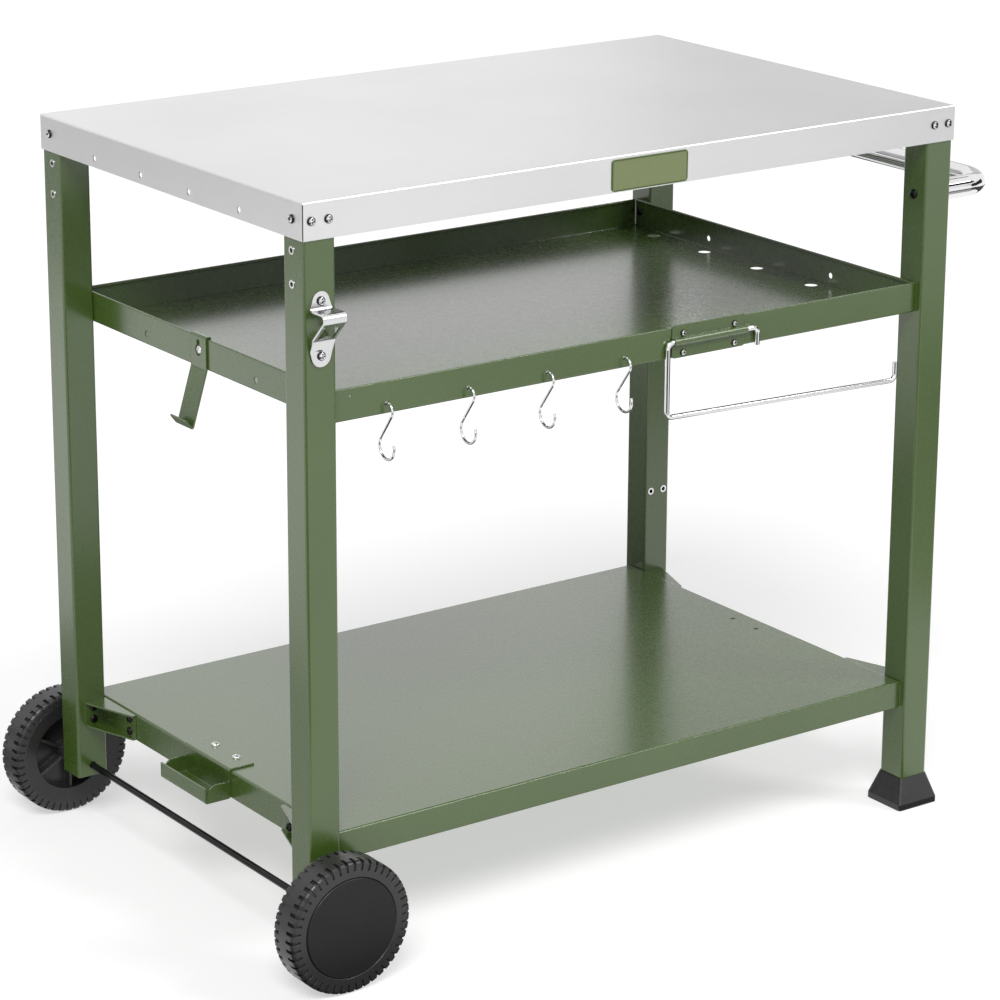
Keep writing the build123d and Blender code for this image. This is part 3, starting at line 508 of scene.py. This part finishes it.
class PREPTABLE_OT_stage(bpy.types.Operator):
    """Set the floor, the cards, the light and the camera."""

    bl_idname = "prep_table.stage"
    bl_label = "Stage"

    def execute(self, context):
        self.floor()
        self.cards()
        self.world(context.scene)
        self.lamps()
        self.camera(context.scene)
        context.scene.view_settings.view_transform = "Standard"
        return {"FINISHED"}

    def plane(self, name, finish, **layout):
        """A plane of the stage in its finish."""
        bpy.ops.object.select_all(action="DESELECT")
        bpy.ops.mesh.primitive_plane_add(**layout)
        plane = bpy.context.object
        plane.name = name
        plane.data.materials.append(finish.material)
        return plane

    def floor(self):
        """Pale paper that glows to the eye and in reflections, but doesn't light the table by it."""
        pale = matt_paper("studio_floor", FLOOR_SHADE, FLOOR_SPREAD, FLOOR_CLOUDS)
        pale.put("Specular IOR Level", 0.0)
        glow = pale.add("ShaderNodeMath")
        glow.operation = "MULTIPLY_ADD"
        glow.inputs[1].default_value = -FLOOR_GLOW
        glow.inputs[2].default_value = FLOOR_GLOW
        pale.link(pale.add("ShaderNodeLightPath").outputs["Is Diffuse Ray"], glow.inputs[0])
        pale.link(glow.outputs[0], pale.shader.inputs["Emission Strength"])
        pale.put("Emission Color", (1.0, 1.0, 1.0, 1.0))
        floor = self.plane("studio_floor", pale, size=FLOOR_SPAN, location=(0.0, 0.0, -FLOOR_DROP))

    def cards(self):
        for name, place, size, shade in FLAGS:
            towards = FLAG_AIM - Vector(place)
            self.card(name, place, towards.to_track_quat("Z", "Y").to_euler(), size, shade)
        for name, place, size, shade in MATS:
            self.card(name, (*place, MAT_LIFT), (0.0, 0.0, 0.0), size, shade)

    def card(self, name, place, turn, size, shade):
        """A card that only the shiny parts see."""
        paper = matt_paper(name, shade, CARD_SPREAD, CARD_CLOUDS)
        card = self.plane(name, paper, size=1.0, location=place, rotation=turn)
        card.scale = (*size, 1.0)
        card.visible_camera = False
        card.visible_diffuse = False
        card.visible_shadow = False

    def world(self, scene):
        """White to the eye and in reflections, and softer as a lamp."""
        world = bpy.data.worlds.new("studio")
        scene.world = world
        world.use_nodes = True
        tree = world.node_tree
        tree.nodes.clear()
        path = tree.nodes.new("ShaderNodeLightPath")
        seen = path.outputs["Is Camera Ray"]
        for kind in ("Is Glossy Ray", "Is Transmission Ray"):
            either = tree.nodes.new("ShaderNodeMath")
            either.operation = "MAXIMUM"
            tree.links.new(seen, either.inputs[0])
            tree.links.new(path.outputs[kind], either.inputs[1])
            seen = either.outputs[0]
        mix = tree.nodes.new("ShaderNodeMixShader")
        tree.links.new(seen, mix.inputs[0])
        for socket, strength in zip(mix.inputs[1:], (WORLD_LIGHT, WORLD_SEEN)):
            light = tree.nodes.new("ShaderNodeBackground")
            light.inputs["Color"].default_value = (1.0, 1.0, 1.0, 1.0)
            light.inputs["Strength"].default_value = strength
            tree.links.new(light.outputs[0], socket)
        output = tree.nodes.new("ShaderNodeOutputWorld")
        tree.links.new(mix.outputs[0], output.inputs["Surface"])

    def lamps(self):
        for name, towards, strength, spread in LAMPS:
            bpy.ops.object.light_add(type="SUN", location=(0.0, 0.0, LAMP_HEIGHT))
            lamp = bpy.context.object
            lamp.name = name
            lamp.data.energy = strength
            lamp.data.angle = math.radians(spread)
            lamp.rotation_euler = Vector(towards).to_track_quat("-Z", "Y").to_euler()

    def camera(self, scene):
        """The camera as it was fitted to the photograph."""
        view = scene.prep_table_stage
        bpy.ops.object.camera_add(location=view.camera_place)
        camera = bpy.context.object
        yaw, pitch, roll = view.camera_yaw, view.camera_pitch, view.camera_roll
        ahead = Vector((math.sin(yaw) * math.cos(pitch), math.cos(yaw) * math.cos(pitch), -math.sin(pitch)))
        right = Vector((math.cos(yaw), -math.sin(yaw), 0.0))
        up = right.cross(ahead)
        across = math.cos(roll) * right + math.sin(roll) * up
        upward = math.cos(roll) * up - math.sin(roll) * right
        turn = Matrix((across, upward, -ahead)).transposed().to_4x4()
        camera.matrix_world = Matrix.Translation(view.camera_place) @ turn
        camera.data.sensor_width = SENSOR_WIDTH
        camera.data.lens = view.focal_pixels / PHOTO_SPAN * SENSOR_WIDTH
        camera.data.shift_x = 0.5 - view.centre_x / PHOTO_SPAN
        camera.data.shift_y = view.centre_y / PHOTO_SPAN - 0.5
        camera.data.clip_end = 2.0 * FLOOR_SPAN
        scene.camera = camera


class PREPTABLE_PT_panel(bpy.types.Panel):
    """Values and buttons for the table's pieces."""

    bl_idname = "PREPTABLE_PT_panel"
    bl_label = "Prep Table"
    bl_space_type = "VIEW_3D"
    bl_region_type = "UI"
    bl_category = "Prep Table"

    def draw(self, context):
        for settings in (context.scene.prep_table_finishes, context.scene.prep_table_stage):
            for name in settings.bl_rna.properties.keys():
                if name not in {"rna_type", "name"}:
                    self.layout.prop(settings, name)
        for operator in OPERATORS:
            self.layout.operator(operator.bl_idname)


OPERATORS = (
    PREPTABLE_OT_worktop,
    PREPTABLE_OT_painted_parts,
    PREPTABLE_OT_badge,
    PREPTABLE_OT_bright_parts,
    PREPTABLE_OT_fasteners,
    PREPTABLE_OT_wheels,
    PREPTABLE_OT_boots,
    PREPTABLE_OT_stage,
)
CLASSES = (PrepTableFinishes, PrepTableStage, *OPERATORS, PREPTABLE_PT_panel)


def register():
    for cls in CLASSES:
        bpy.utils.register_class(cls)
    bpy.types.Scene.prep_table_finishes = bpy.props.PointerProperty(type=PrepTableFinishes)
    bpy.types.Scene.prep_table_stage = bpy.props.PointerProperty(type=PrepTableStage)


def unregister():
    del bpy.types.Scene.prep_table_stage
    del bpy.types.Scene.prep_table_finishes
    for cls in reversed(CLASSES):
        bpy.utils.unregister_class(cls)


def main():
    register()
    for name in (operator.bl_idname.split(".")[1] for operator in OPERATORS):
        getattr(bpy.ops.prep_table, name)()


if __name__ == "__main__":
    main()
